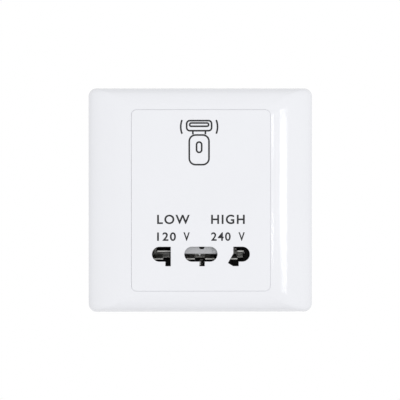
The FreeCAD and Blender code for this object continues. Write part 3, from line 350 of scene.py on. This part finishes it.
def print_words(name, words, left, right, low, high):
    """Prints words so that they fill a box on the panel, in mm from its middle."""
    lettering = bpy.data.curves.new(name, "FONT")
    lettering.body = words
    lettering.offset, lettering.space_character = WEIGHT, SPACING
    holder = bpy.data.objects.new(name + "_curve", lettering)
    bpy.context.scene.collection.objects.link(holder)
    bpy.context.view_layer.update()
    flat = bpy.data.meshes.new_from_object(holder.evaluated_get(bpy.context.evaluated_depsgraph_get()))
    bpy.data.objects.remove(holder)
    bm = bmesh.new()
    bm.from_mesh(flat)
    bpy.data.meshes.remove(flat)
    across = [vert.co.x for vert in bm.verts]
    up = [vert.co.y for vert in bm.verts]
    bmesh.ops.translate(bm, vec=(-min(across), -min(up), 0), verts=bm.verts)
    bmesh.ops.scale(bm, vec=((right - left) * MM / (max(across) - min(across)),
                             (high - low) * MM / (max(up) - min(up)), 1), verts=bm.verts)
    bmesh.ops.translate(bm, vec=(left * MM, low * MM, 0), verts=bm.verts)
    return lay_ink(bm, name)


# %% Print the legend and the voltages
# Two columns of marks, each with its outer and inner edge, in mm from the panel's middle
LEFT_OUTER, LEFT_INNER, RIGHT_INNER, RIGHT_OUTER = -16.8, -4.3, 3.9, 16.8
WORDS_LOW, WORDS_HIGH = -9.05, -5.45
NUMBERS_LOW, NUMBERS_HIGH = -15.5, -12.2
LOW_NUMBER_END, HIGH_NUMBER_END, UNIT_WIDTH = -9.6, 11.4, 2.4
print_words("low_mark", "LOW", LEFT_OUTER, LEFT_INNER, WORDS_LOW, WORDS_HIGH)
print_words("high_mark", "HIGH", RIGHT_INNER, RIGHT_OUTER, WORDS_LOW, WORDS_HIGH)
print_words("low_voltage", "120", LEFT_OUTER, LOW_NUMBER_END, NUMBERS_LOW, NUMBERS_HIGH)
print_words("low_voltage_unit", "V", LEFT_INNER - UNIT_WIDTH, LEFT_INNER, NUMBERS_LOW, NUMBERS_HIGH)
print_words("high_voltage", "240", RIGHT_INNER, HIGH_NUMBER_END, NUMBERS_LOW, NUMBERS_HIGH)
print_words("high_voltage_unit", "V", RIGHT_OUTER - UNIT_WIDTH, RIGHT_OUTER, NUMBERS_LOW, NUMBERS_HIGH)

# %% [markdown]
# ## The line drawing
# Above the legend is a plain drawing of a foil shaver at work. Bevelled curves could draw it, but they pile
# up where lines meet. Here each outline is one flat face: its corners are rounded by a vertex bevel, an
# inset gives the line's width, and the middle is taken out. Open strokes are short edges spun through part
# of a turn.

# %% Outlines and strokes
LINE = 0.64 * MM
print("line width in mm:", LINE / MM)


def outline(bm, width, height, radius, across, up):
    """A round-cornered line frame about a middle point, in mm."""
    before = set(bm.faces)
    corners = bmesh.ops.create_grid(bm, x_segments=1, y_segments=1, size=0.5)["verts"]
    bmesh.ops.scale(bm, vec=(width * MM, height * MM, 1), verts=corners)
    bmesh.ops.bevel(bm, geom=corners, offset=radius * MM, offset_type="OFFSET", affect="VERTICES",
                    segments=8, profile=0.5, material=-1)
    face = next(iter(set(bm.faces) - before))
    rim = bmesh.ops.inset_individual(bm, faces=[face], thickness=LINE, use_even_offset=True)["faces"]
    shape = {vert for part in rim + [face] for vert in part.verts}
    bmesh.ops.translate(bm, vec=(across * MM, up * MM, 0), verts=list(shape))
    bmesh.ops.delete(bm, geom=[face], context="FACES")


def stroke(bm, radius, across, up, facing, sweep):
    """An arc of the line's width about a point, in mm and degrees, with its middle in one direction."""
    ends = [bm.verts.new((radius * MM + side * LINE / 2, 0, 0)) for side in (-1, 1)]
    edge = bm.edges.new(ends)
    centre = (across * MM, up * MM, 0)
    begin = Matrix.Translation(centre) @ Matrix.Rotation(math.radians(facing - sweep / 2), 4, "Z")
    bmesh.ops.transform(bm, matrix=begin, verts=ends)
    bmesh.ops.spin(bm, geom=[edge], cent=centre, axis=(0, 0, 1), angle=math.radians(sweep), steps=24)


# %% Draw the shaver
MIDDLE = -0.7
bm = bmesh.new()
# Head with its foil, grip, and switch
outline(bm, width=10.2, height=4.5, radius=1.5, across=MIDDLE, up=28.65)
outline(bm, width=7.9, height=1.9, radius=0.9, across=MIDDLE, up=29.05)
outline(bm, width=8.2, height=12.0, radius=2.7, across=MIDDLE, up=19.4)
outline(bm, width=2.6, height=4.6, radius=1.28, across=MIDDLE, up=20.4)
# Neck between head and grip: two nearly straight arcs
NECK_RADIUS, NECK_HALF_WIDTH, NECK_LEVEL, NECK_SWEEP = 30, 2.4, 25.9, 2.2
neck_reach = NECK_RADIUS + NECK_HALF_WIDTH
stroke(bm, NECK_RADIUS, across=MIDDLE - neck_reach, up=NECK_LEVEL, facing=0, sweep=NECK_SWEEP)
stroke(bm, NECK_RADIUS, across=MIDDLE + neck_reach, up=NECK_LEVEL, facing=180, sweep=NECK_SWEEP)
# The hum on both sides of the head
for towards in (0, 180):
    stroke(bm, radius=7.05, across=MIDDLE, up=28.2, facing=towards, sweep=44)
lay_ink(bm, "shaver_drawing")

# %% [markdown]
# ## The stage
# The socket is held up like a product on a stand. The floor is a sheet of plain pale paper, well below the
# picture, so that it only gives a soft bounce of light to the underside.

# %% Floor
FLOOR_LEVEL, FLOOR_HALF_WIDTH, FLOOR_MIDDLE = -1.2, 0.9, -0.40
bm = bmesh.new()
bmesh.ops.create_grid(bm, x_segments=1, y_segments=1, size=FLOOR_HALF_WIDTH)
bmesh.ops.translate(bm, vec=(0, FLOOR_MIDDLE, FLOOR_LEVEL), verts=bm.verts)
floor_mesh = bpy.data.meshes.new("floor")
bm.to_mesh(floor_mesh)
bm.free()
floor = bpy.data.objects.new("floor", floor_mesh)
bpy.context.scene.collection.objects.link(floor)
# Studio paper: matt and nearly white
studio_paper = surface("studio_paper", ("#F4F4F5", "#F0F0F1"), roughness=(0.8, 0.9), drift=60, texture=2,
                       relief=0.01)
floor_mesh.materials.append(studio_paper)
print("floor at z in mm:", FLOOR_LEVEL / MM)

# %% [markdown]
# ## The surroundings
# A white tent stands round the product. It could be modelled as walls, but the world plays it with less
# noise: white where the camera looks, or where a glossy surface mirrors it, and dimmer as a light, so that a
# white moulding keeps its tone below pure white. As a light it is brightest in front of the product and
# below it, where a table throws light back. The rim turns away from there, so it falls into a soft shade
# that draws the edge of white on white.

# %% World
WORLD_FRONT, WORLD_BACK = 1.03, 0.62
BRIGHTEST = Vector((-0.08, -0.62, -0.78)).normalized()
world = bpy.data.worlds.new("studio")
bpy.context.scene.world = world
world.use_nodes = True
sky = world.node_tree
rays = add(sky, "ShaderNodeLightPath")
seen = rays.outputs["Is Camera Ray"]
for kind in ("Is Glossy Ray", "Is Transmission Ray"):
    seen = add(sky, "ShaderNodeMath", {0: seen, 1: rays.outputs[kind]}, operation="MAXIMUM").outputs[0]
direction = add(sky, "ShaderNodeTexCoord").outputs["Generated"]
facing = add(sky, "ShaderNodeVectorMath", {0: direction, 1: BRIGHTEST}, operation="DOT_PRODUCT")
light = add(sky, "ShaderNodeMapRange", {"Value": facing.outputs["Value"], "From Min": -1.0, "From Max": 1.0,
                                        "To Min": WORLD_BACK, "To Max": WORLD_FRONT})
level = add(sky, "ShaderNodeMapRange", {"Value": seen, "To Min": light.outputs["Result"], "To Max": 1.0})
sky.nodes["Background"].inputs["Color"].default_value = linear("#FFFFFF")
sky.links.new(level.outputs["Result"], sky.nodes["Background"].inputs["Strength"])
print("world light:", WORLD_BACK, "to", WORLD_FRONT)

# %% [markdown]
# ## Lamps
# A gloss moulding is drawn by what it mirrors. Two small boxes side by side, to the right of the camera, are
# caught by the shoulder of the surround as one clean white line. The inner box is shorter and both lean a
# little, so that the line narrows to its lower end. Two slips of light closer to the camera are caught by the
# bead beside the seam as two short glints. A wide box stands higher up on that side and shades the seam round
# the panel. Its own mirror image would cut across the corner of the surround, so gloss is kept from mirroring
# it.

# %% Lamps
def softbox(name, place, size, watts, mirrored, lean=0):
    """A rectangular lamp that looks at the middle of the panel.

    Gloss shows its image only if it is mirrored, and it leans to one side by so many degrees.
    """
    lamp = bpy.data.lights.new(name, "AREA")
    lamp.shape, lamp.size, lamp.size_y, lamp.energy = "RECTANGLE", *size, watts
    holder = bpy.data.objects.new(name, lamp)
    holder.location = place
    holder.visible_glossy = mirrored
    look = (-Vector(place)).to_track_quat("-Z", "Y")
    holder.rotation_euler = (look @ Quaternion((0, 0, 1), math.radians(lean))).to_euler()
    bpy.context.scene.collection.objects.link(holder)
    print(name, watts, "W")


STRIP_LEAN = -6
softbox("inner_softbox", place=(0.450, -1.440, -0.019), size=(0.118, 0.104), watts=0.153, mirrored=True,
        lean=STRIP_LEAN)
softbox("outer_softbox", place=(0.599, -1.387, -0.0355), size=(0.200, 0.140), watts=0.349, mirrored=True,
        lean=STRIP_LEAN)
softbox("upper_slip", place=(0.262, -1.490, 0.019), size=(0.060, 0.022), watts=0.037, mirrored=True)
softbox("lower_slip", place=(0.262, -1.490, -0.058), size=(0.060, 0.006), watts=0.025, mirrored=True)
softbox("key_softbox", place=(0.6, -1.7, 0.5), size=(1.0, 0.9), watts=5.5, mirrored=False)

# %% [markdown]
# ## The camera
# Product shots of small things use a long lens, which keeps the sides of a square parallel. The frame's
# width at the wall plane comes from the size of the plate in the picture, and the lens follows from that.

# %% Camera
DISTANCE, FRAME_WIDTH, SENSOR = 1.5, 0.1542, 36.0
# Degrees: a little to the left of the middle and a little above it
AZIMUTH, ELEVATION = -1.9, 1.3
# The plate is a hair off the middle of the picture
AIM = Vector((-0.06 * MM, 0, -0.03 * MM))
lens = bpy.data.cameras.new("camera")
lens.sensor_width = SENSOR
lens.lens = SENSOR * DISTANCE / FRAME_WIDTH
camera = bpy.data.objects.new("camera", lens)
view = Matrix.Rotation(math.radians(AZIMUTH), 3, "Z") @ Matrix.Rotation(math.radians(-ELEVATION), 3, "X")
camera.location = AIM + view @ Vector((0, -DISTANCE, 0))
camera.rotation_euler = (math.pi / 2 - math.radians(ELEVATION), 0, math.radians(AZIMUTH))
bpy.context.scene.collection.objects.link(camera)
bpy.context.scene.camera = camera
bpy.context.scene.view_settings.view_transform = "Standard"
print("lens in mm:", round(lens.lens))
